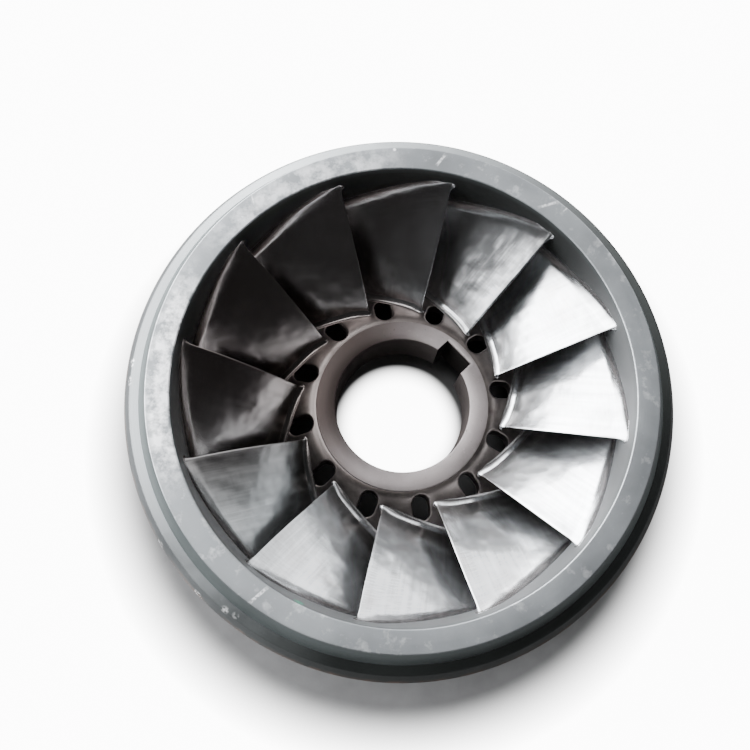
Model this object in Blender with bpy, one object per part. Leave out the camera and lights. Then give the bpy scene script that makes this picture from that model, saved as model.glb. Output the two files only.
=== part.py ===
"""Francis turbine runner, fabricated and welded, lying on its crown with the outlet face up.

The shaft axis is +Z and the floor is z = 0. The flow enters between the crown rim and the
band, from the outside, and leaves upwards through the band.
"""

import math

import bmesh
import bpy
from mathutils import Vector

# Driving dimensions, in metres
BLADE_COUNT = 12
RUNNER_HEIGHT = 0.205          # floor to outlet face
FACE_OUTER_R = 0.255           # outlet face of the band
FACE_INNER_R = 0.232
BAND_OUTER_R = 0.268           # cylinder that carries the wear ring
CROWN_RING_OUTER_R = 0.279
WEAR_RING_FACE_R = 0.278       # outer edge of the band ring's upper face
WEAR_RING_WIDE_R = 0.2885      # its widest part, below a tapered side
WEAR_RING_WIDE_Z = 0.156
WEAR_RING_TOP_Z = RUNNER_HEIGHT - 0.026
WEAR_RING_BOTTOM_Z = 0.128
INLET_R = 0.262                # radius of the flow surfaces at the inlet
INLET_FLOOR_Z = 0.024          # crown flow surface at the inlet
INLET_ROOF_Z = 0.122           # band's lower edge
CROWN_JOINT_R = 0.148          # joint between the crown's cone and its plate
RIM_JOINT_R = 0.190            # joint between the crown's plate and its rim
HUB_OUTER_R = 0.096
HUB_FACE_Z = 0.107
HUB_BACK_Z = 0.036             # back end of the sleeve, set back behind the crown's rim
BORE_R = 0.075
BORE_CHAMFER = 0.0025
KEYWAY_WIDTH = 0.037
KEYWAY_FLOOR_R = 0.0885        # distance from the axis to the keyway's flat floor
KEYWAY_ANGLE = math.radians(43.6)
RELIEF_HOLE_R = 0.1155         # middle of the pressure relief holes
RELIEF_HOLE_LENGTH = 0.029     # along the radius
RELIEF_HOLE_WIDTH = 0.020
RELIEF_HOLE_SHIFT = math.radians(-7.3)   # from each trailing edge
FIRST_EDGE_ANGLE = math.radians(17.8)    # first trailing edge, counted from +X
EDGE_CROWN_R = 0.1145          # trailing edge at the crown
EDGE_BAND_DEPTH = 0.0195       # trailing edge below the outlet face, at the band
EDGE_RISE = 0.006              # how far the trailing edge bows up at mid span
INLET_EDGE_R = 0.258           # blade inlet edge
WRAP_CROWN = math.radians(52.0)
WRAP_BAND = math.radians(47.0)
WRAP_POWER_CROWN = 1.7         # how early the blade turns: 1 is an even turn
WRAP_POWER_BAND = 1.05
BLADE_THICKNESS = 0.0065
EDGE_THICKNESS = 0.0020        # blunt trailing edge
FIT_GAP = 0.0003               # between turned pieces that touch
BLADE_GAP = 0.0007             # at a blade's root and tip, facets allowed for

# Facet counts
ROUND_STEPS = 72
CURVE_STEPS = 12
STREAM_STEPS = 12              # along a blade
SPAN_STEPS = 5                 # from crown to band

# Flow surfaces of crown and band, as cubic curves in (radius, height)
CROWN_CURVE = (
    (HUB_OUTER_R + 0.0005, HUB_FACE_Z - 0.0035),
    (0.125, 0.100),
    (0.150, INLET_FLOOR_Z),
    (INLET_R, INLET_FLOOR_Z),
)
BAND_CURVE = (
    (FACE_INNER_R, RUNNER_HEIGHT),
    (0.224, 0.165),
    (0.226, INLET_ROOF_Z + 0.006),
    (INLET_R, INLET_ROOF_Z),
)


def cubic_point(curve, t):
    """Point of a cubic Bezier curve in (radius, height)."""
    s = 1.0 - t
    weights = (s * s * s, 3.0 * s * s * t, 3.0 * s * t * t, t * t * t)
    radius = sum(w * p[0] for w, p in zip(weights, curve))
    height = sum(w * p[1] for w, p in zip(weights, curve))
    return Vector((radius, height))


def cubic_normal(curve, t):
    """Unit normal of the curve, turned left from its direction."""
    step = 0.001
    ahead = cubic_point(curve, min(t + step, 1.0))
    behind = cubic_point(curve, max(t - step, 0.0))
    tangent = (ahead - behind).normalized()
    return Vector((-tangent.y, tangent.x))


def curve_parameter(curve, wanted, coordinate):
    """Parameter at which a coordinate that only rises or only falls reaches a value."""
    low, high = 0.0, 1.0
    rising = cubic_point(curve, 1.0)[coordinate] > cubic_point(curve, 0.0)[coordinate]
    for _ in range(50):
        middle = 0.5 * (low + high)
        below = cubic_point(curve, middle)[coordinate] < wanted
        if below == rising:
            low = middle
        else:
            high = middle
    return 0.5 * (low + high)


def make_material(name, colour, roughness, metallic=1.0):
    material = bpy.data.materials.new(name)
    material.use_nodes = True
    shader = material.node_tree.nodes["Principled BSDF"]
    shader.inputs["Base Color"].default_value = (*colour, 1.0)
    shader.inputs["Roughness"].default_value = roughness
    shader.inputs["Metallic"].default_value = metallic
    material.diffuse_color = (*colour, 1.0)
    return material


def finish_object(name, bm, material):
    """Turn the bmesh into a named object, shaded smooth with sharp machined edges."""
    bmesh.ops.recalc_face_normals(bm, faces=bm.faces)
    mesh = bpy.data.meshes.new(name)
    bm.to_mesh(mesh)
    bm.free()
    mesh.shade_smooth()
    mesh.set_sharp_from_angle(angle=math.radians(30.0))
    mesh.materials.append(material)
    obj = bpy.data.objects.new(name, mesh)
    bpy.context.scene.collection.objects.link(obj)
    return obj


def turned_ring(name, profile, material):
    """Spin a closed profile of (radius, height) points round the Z axis."""
    bm = bmesh.new()
    verts = [bm.verts.new((radius, 0.0, height)) for radius, height in profile]
    edges = [bm.edges.new((verts[i - 1], verts[i])) for i in range(len(verts))]
    bmesh.ops.spin(
        bm,
        geom=verts + edges,
        cent=(0.0, 0.0, 0.0),
        axis=(0.0, 0.0, 1.0),
        angle=math.tau,
        steps=ROUND_STEPS,
        use_merge=True,
    )
    bmesh.ops.remove_doubles(bm, verts=bm.verts, dist=1e-6)
    return finish_object(name, bm, material)


def cut_with(obj, cutter):
    cutter.hide_render = True
    cutter.display_type = 'WIRE'
    modifier = obj.modifiers.new("cut_" + cutter.name, 'BOOLEAN')
    modifier.operation = 'DIFFERENCE'
    modifier.solver = 'EXACT'
    modifier.object = cutter


def keyway_cutter():
    """Block along +X from inside the bore to the keyway's floor, turned to its angle."""
    inner = BORE_R - 0.020
    length = KEYWAY_FLOOR_R - inner
    bm = bmesh.new()
    bmesh.ops.create_cube(bm, size=1.0)
    bmesh.ops.scale(bm, verts=bm.verts, vec=(length, KEYWAY_WIDTH, RUNNER_HEIGHT))
    bmesh.ops.translate(bm, verts=bm.verts, vec=(inner + length / 2.0, 0.0, HUB_FACE_Z / 2.0))
    cutter = finish_object("keyway_cutter", bm, None)
    cutter.rotation_euler.z = KEYWAY_ANGLE
    return cutter


def relief_hole_cutter():
    """Twelve upright prisms with round ends, one for each hole through the crown."""
    end_steps = 6
    end_r = RELIEF_HOLE_WIDTH / 2.0
    reach = RELIEF_HOLE_LENGTH / 2.0 - end_r
    bm = bmesh.new()
    for index in range(BLADE_COUNT):
        turn = FIRST_EDGE_ANGLE + RELIEF_HOLE_SHIFT + index * math.tau / BLADE_COUNT
        along = Vector((math.cos(turn), math.sin(turn), 0.0))
        across = Vector((-math.sin(turn), math.cos(turn), 0.0))
        ring = []
        for side in (1.0, -1.0):
            for step in range(end_steps + 1):
                angle = math.pi * step / end_steps - math.pi / 2.0
                x = side * (reach + end_r * math.cos(angle))
                y = side * end_r * math.sin(angle)
                ring.append(bm.verts.new(along * (RELIEF_HOLE_R + x) + across * y))
        face = bm.faces.new(ring)
        wall = bmesh.ops.extrude_face_region(bm, geom=[face])
        top = [item for item in wall["geom"] if isinstance(item, bmesh.types.BMVert)]
        bmesh.ops.translate(bm, verts=top, vec=(0.0, 0.0, RUNNER_HEIGHT))
    bmesh.ops.translate(bm, verts=bm.verts, vec=(0.0, 0.0, -0.020))
    return finish_object("relief_hole_cutter", bm, None)


def make_hub_boss(material):
    """Keyed sleeve at the centre, with a flat machined face at each end."""
    inner = BORE_R
    outer = HUB_OUTER_R
    edge = BORE_CHAMFER
    profile = (
        (inner, HUB_BACK_Z + edge),
        (inner + edge, HUB_BACK_Z),
        (outer - edge, HUB_BACK_Z),
        (outer, HUB_BACK_Z + edge),
        (outer, HUB_FACE_Z - 0.001),
        (outer - 0.001, HUB_FACE_Z),
        (inner + edge, HUB_FACE_Z),
        (inner, HUB_FACE_Z - edge),
    )
    hub = turned_ring("hub_boss", profile, material)
    cut_with(hub, keyway_cutter())
    return hub


def crown_flow(start_r, end_r):
    """Points of the crown's flow surface between two radii, end points included."""
    start = curve_parameter(CROWN_CURVE, start_r, 0)
    end = curve_parameter(CROWN_CURVE, end_r, 0)
    inside = [i / CURVE_STEPS for i in range(1, CURVE_STEPS)]
    stations = [start] + [t for t in inside if start + 0.01 < t < end - 0.01] + [end]
    return [(point.x, point.y) for point in (cubic_point(CROWN_CURVE, t) for t in stations)]


def make_crown_cone(material):
    """Inner part of the crown, which carries the hub boss and has the relief holes."""
    inner = HUB_OUTER_R + FIT_GAP
    flow = crown_flow(CROWN_CURVE[0][0], CROWN_JOINT_R)
    back = [
        (CROWN_JOINT_R, 0.044),
        (0.130, 0.058),
        (0.113, 0.066),
        (inner, 0.066),
        (inner, flow[0][1]),
    ]
    cone = turned_ring("crown_cone", flow + back, material)
    cut_with(cone, relief_hole_cutter())
    return cone


def make_crown_plate(material):
    """Middle part of the crown: a dished plate between the cone and the rim."""
    inner = CROWN_JOINT_R + FIT_GAP
    back = [
        (RIM_JOINT_R, 0.018),
        (0.170, 0.027),
        (inner, 0.044),
    ]
    return turned_ring("crown_plate", crown_flow(inner, RIM_JOINT_R) + back, material)


def make_crown_rim(material):
    """Outer part of the crown, which stands on the floor and carries the wear ring."""
    inner = RIM_JOINT_R + FIT_GAP
    rim = BAND_OUTER_R
    back = [
        (rim, INLET_FLOOR_Z),
        (rim, 0.0),
        (0.246, 0.0),
        (0.241, 0.008),
        (0.205, 0.012),
        (inner, 0.018),
    ]
    return turned_ring("crown_rim", crown_flow(inner, INLET_R) + back, material)


def make_crown_wear_ring(material):
    inner = BAND_OUTER_R + FIT_GAP
    outer = CROWN_RING_OUTER_R
    edge = 0.0015
    profile = (
        (inner, 0.0),
        (outer - edge, 0.0),
        (outer, edge),
        (outer, INLET_FLOOR_Z - edge),
        (outer - edge, INLET_FLOOR_Z),
        (inner, INLET_FLOOR_Z),
    )
    return turned_ring("crown_wear_ring", profile, material)


def make_band(material):
    """Outer shroud: flow surface inside, tapered rim up to the flat outlet face."""
    flow = [cubic_point(BAND_CURVE, i / CURVE_STEPS) for i in range(CURVE_STEPS + 1)]
    edge = 0.001
    outside = [
        (BAND_OUTER_R, INLET_ROOF_Z),
        (BAND_OUTER_R, WEAR_RING_TOP_Z),
        (FACE_OUTER_R, RUNNER_HEIGHT - edge),
        (FACE_OUTER_R - edge, RUNNER_HEIGHT),
        (FACE_INNER_R + edge, RUNNER_HEIGHT),
    ]
    lip = cubic_point(BAND_CURVE, 0.02)
    inside = [(lip.x, lip.y)] + [(point.x, point.y) for point in flow[1:]]
    return turned_ring("band", inside + outside, material)


def make_band_wear_ring(material):
    """Ring shrunk on the band: its upper face is the step round the outlet face.

    Its side tapers outwards below that face.
    """
    inner = BAND_OUTER_R + FIT_GAP
    edge = 0.0035
    lip = 0.0015
    profile = (
        (inner, WEAR_RING_BOTTOM_Z),
        (WEAR_RING_WIDE_R - edge, WEAR_RING_BOTTOM_Z),
        (WEAR_RING_WIDE_R, WEAR_RING_BOTTOM_Z + edge),
        (WEAR_RING_WIDE_R, WEAR_RING_WIDE_Z),
        (WEAR_RING_FACE_R, WEAR_RING_TOP_Z - lip),
        (WEAR_RING_FACE_R - lip, WEAR_RING_TOP_Z),
        (inner, WEAR_RING_TOP_Z),
    )
    return turned_ring("band_wear_ring", profile, material)


class BladeShape:
    """One blade: s runs from its trailing edge to its inlet edge, v from crown to band."""

    def __init__(self):
        self.crown_start = curve_parameter(CROWN_CURVE, EDGE_CROWN_R, 0)
        self.crown_end = curve_parameter(CROWN_CURVE, INLET_EDGE_R, 0)
        self.band_start = curve_parameter(BAND_CURVE, RUNNER_HEIGHT - EDGE_BAND_DEPTH, 1)
        self.band_end = self.band_parameter_at_inlet()

    def band_parameter_at_inlet(self):
        """The band curve dips inwards first, so its outer half is searched."""
        low, high = 0.5, 1.0
        for _ in range(50):
            middle = 0.5 * (low + high)
            if cubic_point(BAND_CURVE, middle).x < INLET_EDGE_R:
                low = middle
            else:
                high = middle
        return 0.5 * (low + high)

    def meridional_point(self, s, v):
        """Straight span between crown and band, bowed up near the trailing edge."""
        t = self.crown_start + (self.crown_end - self.crown_start) * s
        at_crown = cubic_point(CROWN_CURVE, t) + cubic_normal(CROWN_CURVE, t) * BLADE_GAP
        t = self.band_start + (self.band_end - self.band_start) * s
        at_band = cubic_point(BAND_CURVE, t) + cubic_normal(BAND_CURVE, t) * -BLADE_GAP
        point = at_crown.lerp(at_band, v)
        point.y += EDGE_RISE * 4.0 * v * (1.0 - v) * (1.0 - s) ** 2
        return point

    def wrap_angle(self, s, v):
        """Turn of the blade round the axis, quick behind the trailing edge at the crown."""
        total = WRAP_CROWN + (WRAP_BAND - WRAP_CROWN) * v
        power = WRAP_POWER_CROWN + (WRAP_POWER_BAND - WRAP_POWER_CROWN) * v
        edge = math.radians(1.0) * (1.0 - v) - math.radians(1.7) * v * (1.0 - v)
        return edge + total * (1.0 - (1.0 - s) ** power)

    def camber_point(self, s, v):
        point = self.meridional_point(s, v)
        angle = self.wrap_angle(s, v)
        return Vector((point.x * math.cos(angle), point.x * math.sin(angle), point.y))

    def half_turn(self, s, v):
        """Half of the blade's thickness, as an angle round the axis."""
        step = 0.01
        s_low, s_high = max(s - step, 0.0), min(s + step, 1.0)
        v_low, v_high = max(v - step, 0.0), min(v + step, 1.0)
        along = self.camber_point(s_high, v) - self.camber_point(s_low, v)
        across = self.camber_point(s, v_high) - self.camber_point(s, v_low)
        normal = along.cross(across).normalized()
        point = self.camber_point(s, v)
        around = Vector((-point.y, point.x, 0.0)).normalized()
        slant = max(abs(normal.dot(around)), 0.25)
        growth = min(s / 0.25, 1.0)
        growth = growth * growth * (3.0 - 2.0 * growth)
        thickness = EDGE_THICKNESS + (BLADE_THICKNESS - EDGE_THICKNESS) * growth
        nose = 0.08
        if s > 1.0 - nose:
            thickness *= math.sqrt(max(1.0 - ((s - 1.0 + nose) / nose) ** 2, 0.0))
        return 0.5 * thickness / (slant * math.hypot(point.x, point.y))

    def surface_point(self, s, v, side):
        point = self.meridional_point(s, v)
        angle = self.wrap_angle(s, v) + side * self.half_turn(s, v)
        return Vector((point.x * math.cos(angle), point.x * math.sin(angle), point.y))

    def make_mesh(self, material):
        """Loft of closed sections, from the root at the crown to the tip at the band."""
        stations = [(i / STREAM_STEPS) ** 1.25 for i in range(STREAM_STEPS)]
        bm = bmesh.new()
        sections = []
        for row in range(SPAN_STEPS + 1):
            v = row / SPAN_STEPS
            upper = [self.surface_point(s, v, -1.0) for s in stations]
            lower = [self.surface_point(s, v, 1.0) for s in stations]
            outline = upper + [self.camber_point(1.0, v)] + lower[::-1]
            sections.append([bm.verts.new(point) for point in outline])
        count = len(sections[0])
        for low, high in zip(sections, sections[1:]):
            for i in range(count):
                j = (i + 1) % count
                bm.faces.new((low[i], low[j], high[j]))
                bm.faces.new((low[i], high[j], high[i]))
        for section in (sections[0], sections[-1]):
            for i in range(STREAM_STEPS - 1):
                a, b = section[i], section[i + 1]
                c, d = section[count - 2 - i], section[count - 1 - i]
                bm.faces.new((a, b, c))
                bm.faces.new((a, c, d))
            middle = STREAM_STEPS
            bm.faces.new((section[middle - 1], section[middle], section[middle + 1]))
        bmesh.ops.recalc_face_normals(bm, faces=bm.faces)
        mesh = bpy.data.meshes.new("blade")
        bm.to_mesh(mesh)
        bm.free()
        mesh.shade_smooth()
        mesh.set_sharp_from_angle(angle=math.radians(40.0))
        mesh.materials.append(material)
        return mesh


def make_blades(material):
    """Twelve like blades that share one mesh, each turned to its place."""
    mesh = BladeShape().make_mesh(material)
    blades = []
    for index in range(BLADE_COUNT):
        blade = bpy.data.objects.new(f"blade_{index + 1:02d}", mesh)
        blade.rotation_euler.z = FIRST_EDGE_ANGLE + index * math.tau / BLADE_COUNT
        bpy.context.scene.collection.objects.link(blade)
        blades.append(blade)
    return blades


def main():
    for obj in list(bpy.data.objects):
        bpy.data.objects.remove(obj, do_unlink=True)
    polished = make_material("polished_blade_steel", (0.55, 0.56, 0.57), 0.22)
    ground = make_material("ground_crown_steel", (0.34, 0.33, 0.33), 0.35)
    machined = make_material("machined_band_steel", (0.38, 0.41, 0.43), 0.40)
    hub_steel = make_material("machined_hub_steel", (0.32, 0.29, 0.28), 0.45)
    dark = make_material("turned_ring_steel", (0.22, 0.25, 0.25), 0.50)
    assembly = bpy.data.objects.new("runner", None)
    bpy.context.scene.collection.objects.link(assembly)
    pieces = [
        make_crown_cone(ground),
        make_crown_plate(ground),
        make_crown_rim(ground),
        make_hub_boss(hub_steel),
        make_crown_wear_ring(dark),
        make_band(machined),
        make_band_wear_ring(dark),
    ]
    pieces += make_blades(polished)
    for piece in pieces:
        piece.parent = assembly


if __name__ == "__main__":
    main()
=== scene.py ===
"""Dresses the francis turbine runner: fine surfaces, steel finishes, light and camera."""

import math

import bmesh
import bpy
import numpy as np
from mathutils import Matrix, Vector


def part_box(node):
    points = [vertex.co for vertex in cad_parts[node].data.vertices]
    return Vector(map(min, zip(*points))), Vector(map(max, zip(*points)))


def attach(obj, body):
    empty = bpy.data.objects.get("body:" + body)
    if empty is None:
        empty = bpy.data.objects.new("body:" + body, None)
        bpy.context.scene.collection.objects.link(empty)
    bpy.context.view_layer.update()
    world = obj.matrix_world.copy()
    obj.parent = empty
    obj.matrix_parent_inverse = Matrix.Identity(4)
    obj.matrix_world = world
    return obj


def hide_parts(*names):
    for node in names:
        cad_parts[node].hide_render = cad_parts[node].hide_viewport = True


bl_info = {
    "name": "Francis Turbine Runner",
    "version": (1, 0, 0),
    "blender": (4, 5, 0),
    "location": "View3D > Sidebar > Runner",
    "description": "Builds the dressed surfaces of a francis turbine runner round its packed frame",
    "category": "Object",
}

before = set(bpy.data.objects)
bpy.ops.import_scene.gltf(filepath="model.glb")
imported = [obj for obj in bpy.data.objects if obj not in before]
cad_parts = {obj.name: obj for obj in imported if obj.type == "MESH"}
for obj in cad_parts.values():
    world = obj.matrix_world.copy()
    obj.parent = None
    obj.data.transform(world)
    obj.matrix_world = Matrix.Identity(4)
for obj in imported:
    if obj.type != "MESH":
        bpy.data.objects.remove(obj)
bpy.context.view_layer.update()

HUB_LOW, HUB_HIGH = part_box("hub_boss")
CROWN_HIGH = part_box("crown_rim")[1]
BAND_LOW, BAND_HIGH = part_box("band")
RING_LOW, RING_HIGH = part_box("band_wear_ring")
CROWN_RING_LOW, CROWN_RING_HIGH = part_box("crown_wear_ring")

BLADE_COUNT = 12
PITCH = math.tau / BLADE_COUNT
FIRST_EDGE_ANGLE = math.radians(17.8)
TURN_STEPS = 288        # points round the axis on each turned surface
SHARP_DEGREES = 32.0    # edges that turn by more than this stay sharp in the shading

# Sizes that the frame's boxes don't give, in metres, as in the part's source
FACE_OUTER_R = 0.255
FACE_INNER_R = 0.232
INLET_R = 0.262
RING_FACE_R = 0.279
RING_FACE_DROP = 0.0055
RING_WIDE_Z = 0.156
BORE_R = 0.075
BORE_CHAMFER = 0.0025
KEYWAY_WIDTH = 0.037
KEYWAY_FLOOR_R = 0.0885
KEYWAY_ANGLE = math.radians(43.6)
RELIEF_HOLE_R = 0.1155
RELIEF_HOLE_LENGTH = 0.029
RELIEF_HOLE_WIDTH = 0.020
RELIEF_HOLE_SHIFT = math.radians(-7.3)
EDGE_CROWN_R = 0.1145
EDGE_BAND_DEPTH = 0.0195
EDGE_RISE = 0.006
INLET_EDGE_R = 0.258
WRAP_CROWN = math.radians(52.0)
WRAP_BAND = math.radians(47.0)
WRAP_POWER_CROWN = 1.7
WRAP_POWER_BAND = 1.05
EDGE_TURN = math.radians(1.0)   # how far the trailing edge is turned on at the crown
EDGE_BOW = math.radians(1.7)    # four times how far its middle is turned back

# Smaller sizes that only the dressed surfaces have
JOINT = 0.0003          # gap or overlap where two pieces meet
PLAIN_EASE = 0.001      # rounding of a machined edge
SMALL_EASE = 0.0005
HUB_EASE = 0.0008
BORE_EASE = 0.0014
BORE_EASE_MIDDLE = 0.0004
PLUG_LOW = (0.0, 0.060)   # heights of a hole plug's lower rows
PLUG_TOP = 0.012          # its top row's height over the flow surface

CROWN_CURVE = (
    (HUB_HIGH[0] + 0.0005, HUB_HIGH[2] - 0.0035),
    (0.125, 0.100),
    (0.150, CROWN_RING_HIGH[2]),
    (INLET_R, CROWN_RING_HIGH[2]),
)
BAND_CURVE = (
    (FACE_INNER_R, BAND_HIGH[2]),
    (0.224, 0.165),
    (0.226, BAND_LOW[2] + 0.006),
    (INLET_R, BAND_LOW[2]),
)
# Hollow at the crown's back: radius, height and rounding of each corner, from the foot inwards
CROWN_HOLLOW = (
    (0.246, 0.0, 0.001),
    (0.241, 0.008, 0.003),
    (0.205, 0.012, 0.02),
    (0.170, 0.027, 0.02),
    (0.148, 0.044, 0.02),
    (0.130, 0.058, 0.02),
    (0.113, 0.066, 0.008),
)


class RunnerSizes(bpy.types.PropertyGroup):
    """Sizes of the dressed surfaces that a user may change."""

    blade_thickness: bpy.props.FloatProperty(
        name="Blade thickness",
        description="Thickest part of a blade",
        default=0.0068,
        unit='LENGTH',
    )
    edge_thickness: bpy.props.FloatProperty(
        name="Trailing edge",
        description="Thickness of a blade at its blunt trailing edge",
        default=0.0020,
        unit='LENGTH',
    )
    crown_fillet: bpy.props.FloatProperty(
        name="Crown fillet",
        description="Radius of the blended weld between blade and crown",
        default=0.006,
        unit='LENGTH',
    )
    band_fillet: bpy.props.FloatProperty(
        name="Band fillet",
        description="Radius of the blended weld between blade and band",
        default=0.009,
        unit='LENGTH',
    )
    hole_round: bpy.props.FloatProperty(
        name="Hole rounding",
        description="Rounded mouth of each pressure relief hole",
        default=0.002,
        unit='LENGTH',
    )


class RunnerColours(bpy.types.PropertyGroup):
    """Base colours of the steels."""

    blade: bpy.props.FloatVectorProperty(
        name="Blade steel",
        description="Hand polished blades",
        subtype='COLOR',
        default=(0.60, 0.61, 0.62),
    )
    crown: bpy.props.FloatVectorProperty(
        name="Crown steel",
        description="Ground crown between the blades",
        subtype='COLOR',
        default=(0.20, 0.175, 0.165),
    )
    hub: bpy.props.FloatVectorProperty(
        name="Hub steel",
        description="Turned face of the hub",
        subtype='COLOR',
        default=(0.34, 0.305, 0.30),
    )
    band: bpy.props.FloatVectorProperty(
        name="Band steel",
        description="Turned outlet face and rim",
        subtype='COLOR',
        default=(0.275, 0.29, 0.30),
    )
    ring: bpy.props.FloatVectorProperty(
        name="Wear ring steel",
        description="Dull turned wear rings",
        subtype='COLOR',
        default=(0.33, 0.35, 0.355),
    )


def cubic(curve, t):
    """Bezier curve: the four control points weighted by the cubic Bernstein terms of t."""
    t = np.asarray(t, dtype=float)[..., None]
    p0, p1, p2, p3 = (np.array(point) for point in curve)
    s = 1.0 - t
    return s ** 3 * p0 + 3.0 * s * s * t * p1 + 3.0 * s * t * t * p2 + t ** 3 * p3


def curve_parameter(curve, wanted, coordinate, low=0.0):
    """Parameter where one coordinate reaches a value, read from a fine table of the curve."""
    t = np.linspace(low, 1.0, 4001)
    values = cubic(curve, t)[:, coordinate]
    order = np.argsort(values)
    return float(np.interp(wanted, values[order], t[order]))


def smooth_step(value, low, high):
    """Share of the way from low to high, x, held between 0 and 1 and eased as 3 x^2 - 2 x^3."""
    x = np.clip((value - low) / (high - low), 0.0, 1.0)
    return x * x * (3.0 - 2.0 * x)


def rounded_outline(corners, steps=6):
    """Closed outline of (radius, height) points, each corner replaced by an arc of its own radius.

    The arc is the circle that touches both sides: its ends lie radius / tan(half angle) from
    the corner, and its points turn evenly from one end to the other.
    """
    points = []
    count = len(corners)
    for i in range(count):
        corner = np.array(corners[i][:2])
        radius = corners[i][2]
        before = np.array(corners[i - 1][:2]) - corner
        after = np.array(corners[(i + 1) % count][:2]) - corner
        if radius <= 0.0:
            points.append(corner[None])
            continue
        a = before / np.linalg.norm(before)
        b = after / np.linalg.norm(after)
        half = 0.5 * math.acos(float(np.clip(a @ b, -1.0, 1.0)))
        reach = radius / math.tan(half)
        middle = corner + (a + b) / np.linalg.norm(a + b) * radius / math.sin(half)
        start = corner + a * reach - middle
        end = corner + b * reach - middle
        share = np.linspace(0.0, 1.0, steps + 1)[:, None]
        span = math.pi - 2.0 * half
        arc = (np.sin((1.0 - share) * span) * start + np.sin(share * span) * end) / math.sin(span)
        points.append(middle + arc)
    return np.vstack(points)


def grid_quads(rows, columns, wrap_rows):
    """Four corner indices of every cell between closed rows of points, stored row by row."""
    r = np.arange(rows if wrap_rows else rows - 1)[:, None]
    c = np.arange(columns)[None, :]
    r_next = (r + 1) % rows
    c_next = (c + 1) % columns
    cells = (r * columns + c, r * columns + c_next, r_next * columns + c_next, r_next * columns + c)
    return np.stack(np.broadcast_arrays(*cells), axis=-1).reshape(-1, 4)


def soften(mesh, degrees=SHARP_DEGREES):
    """Smooth shading between the edges that turn by more than the given degrees."""
    mesh.shade_smooth()
    mesh.set_sharp_from_angle(angle=math.radians(degrees))


def put_mesh(name, points, faces, sharp_degrees=SHARP_DEGREES, marks=None, fill=False):
    """Mesh object from points and faces, with merged doubles, outward normals and soft shading.

    Marks are arrays of one number or one vector for each point, kept as attributes that the
    materials read. Fill closes open ends with triangles.
    """
    mesh = bpy.data.meshes.new(name)
    corners = faces if isinstance(faces, list) else faces.tolist()
    mesh.from_pydata(points.reshape(-1, 3).tolist(), [], corners)
    for key, values in (marks or {}).items():
        vector = values.size == points.size
        layer = mesh.attributes.new(key, 'FLOAT_VECTOR' if vector else 'FLOAT', 'POINT')
        layer.data.foreach_set("vector" if vector else "value", values.astype(np.float32).ravel())
    bm = bmesh.new()
    bm.from_mesh(mesh)
    bmesh.ops.remove_doubles(bm, verts=bm.verts, dist=1e-6)
    if fill:
        bmesh.ops.holes_fill(bm, edges=[edge for edge in bm.edges if edge.is_boundary])
        bmesh.ops.triangulate(bm, faces=[face for face in bm.faces if len(face.verts) > 4])
    bmesh.ops.recalc_face_normals(bm, faces=bm.faces)
    bm.to_mesh(mesh)
    bm.free()
    soften(mesh, sharp_degrees)
    obj = bpy.data.objects.new(name, mesh)
    bpy.context.scene.collection.objects.link(obj)
    return obj


def turned(name, outline):
    """Closed outline turned round Z: x = r cos a, y = r sin a, z = height."""
    angle = np.linspace(0.0, math.tau, TURN_STEPS, endpoint=False)[:, None]
    radius = outline[:, 0][None]
    height = np.broadcast_to(outline[:, 1][None], (TURN_STEPS, len(outline)))
    points = np.stack((radius * np.cos(angle), radius * np.sin(angle), height), axis=-1)
    return put_mesh(name, points, grid_quads(TURN_STEPS, len(outline), wrap_rows=True))


def finish_piece(obj, material, slot, *nodes):
    """Gives a piece its material and its body, and hides the nodes that it stands for. The slot is not
    used.
    """
    obj.data.materials.append(material)
    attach(obj, "root")
    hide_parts(*nodes)


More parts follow.
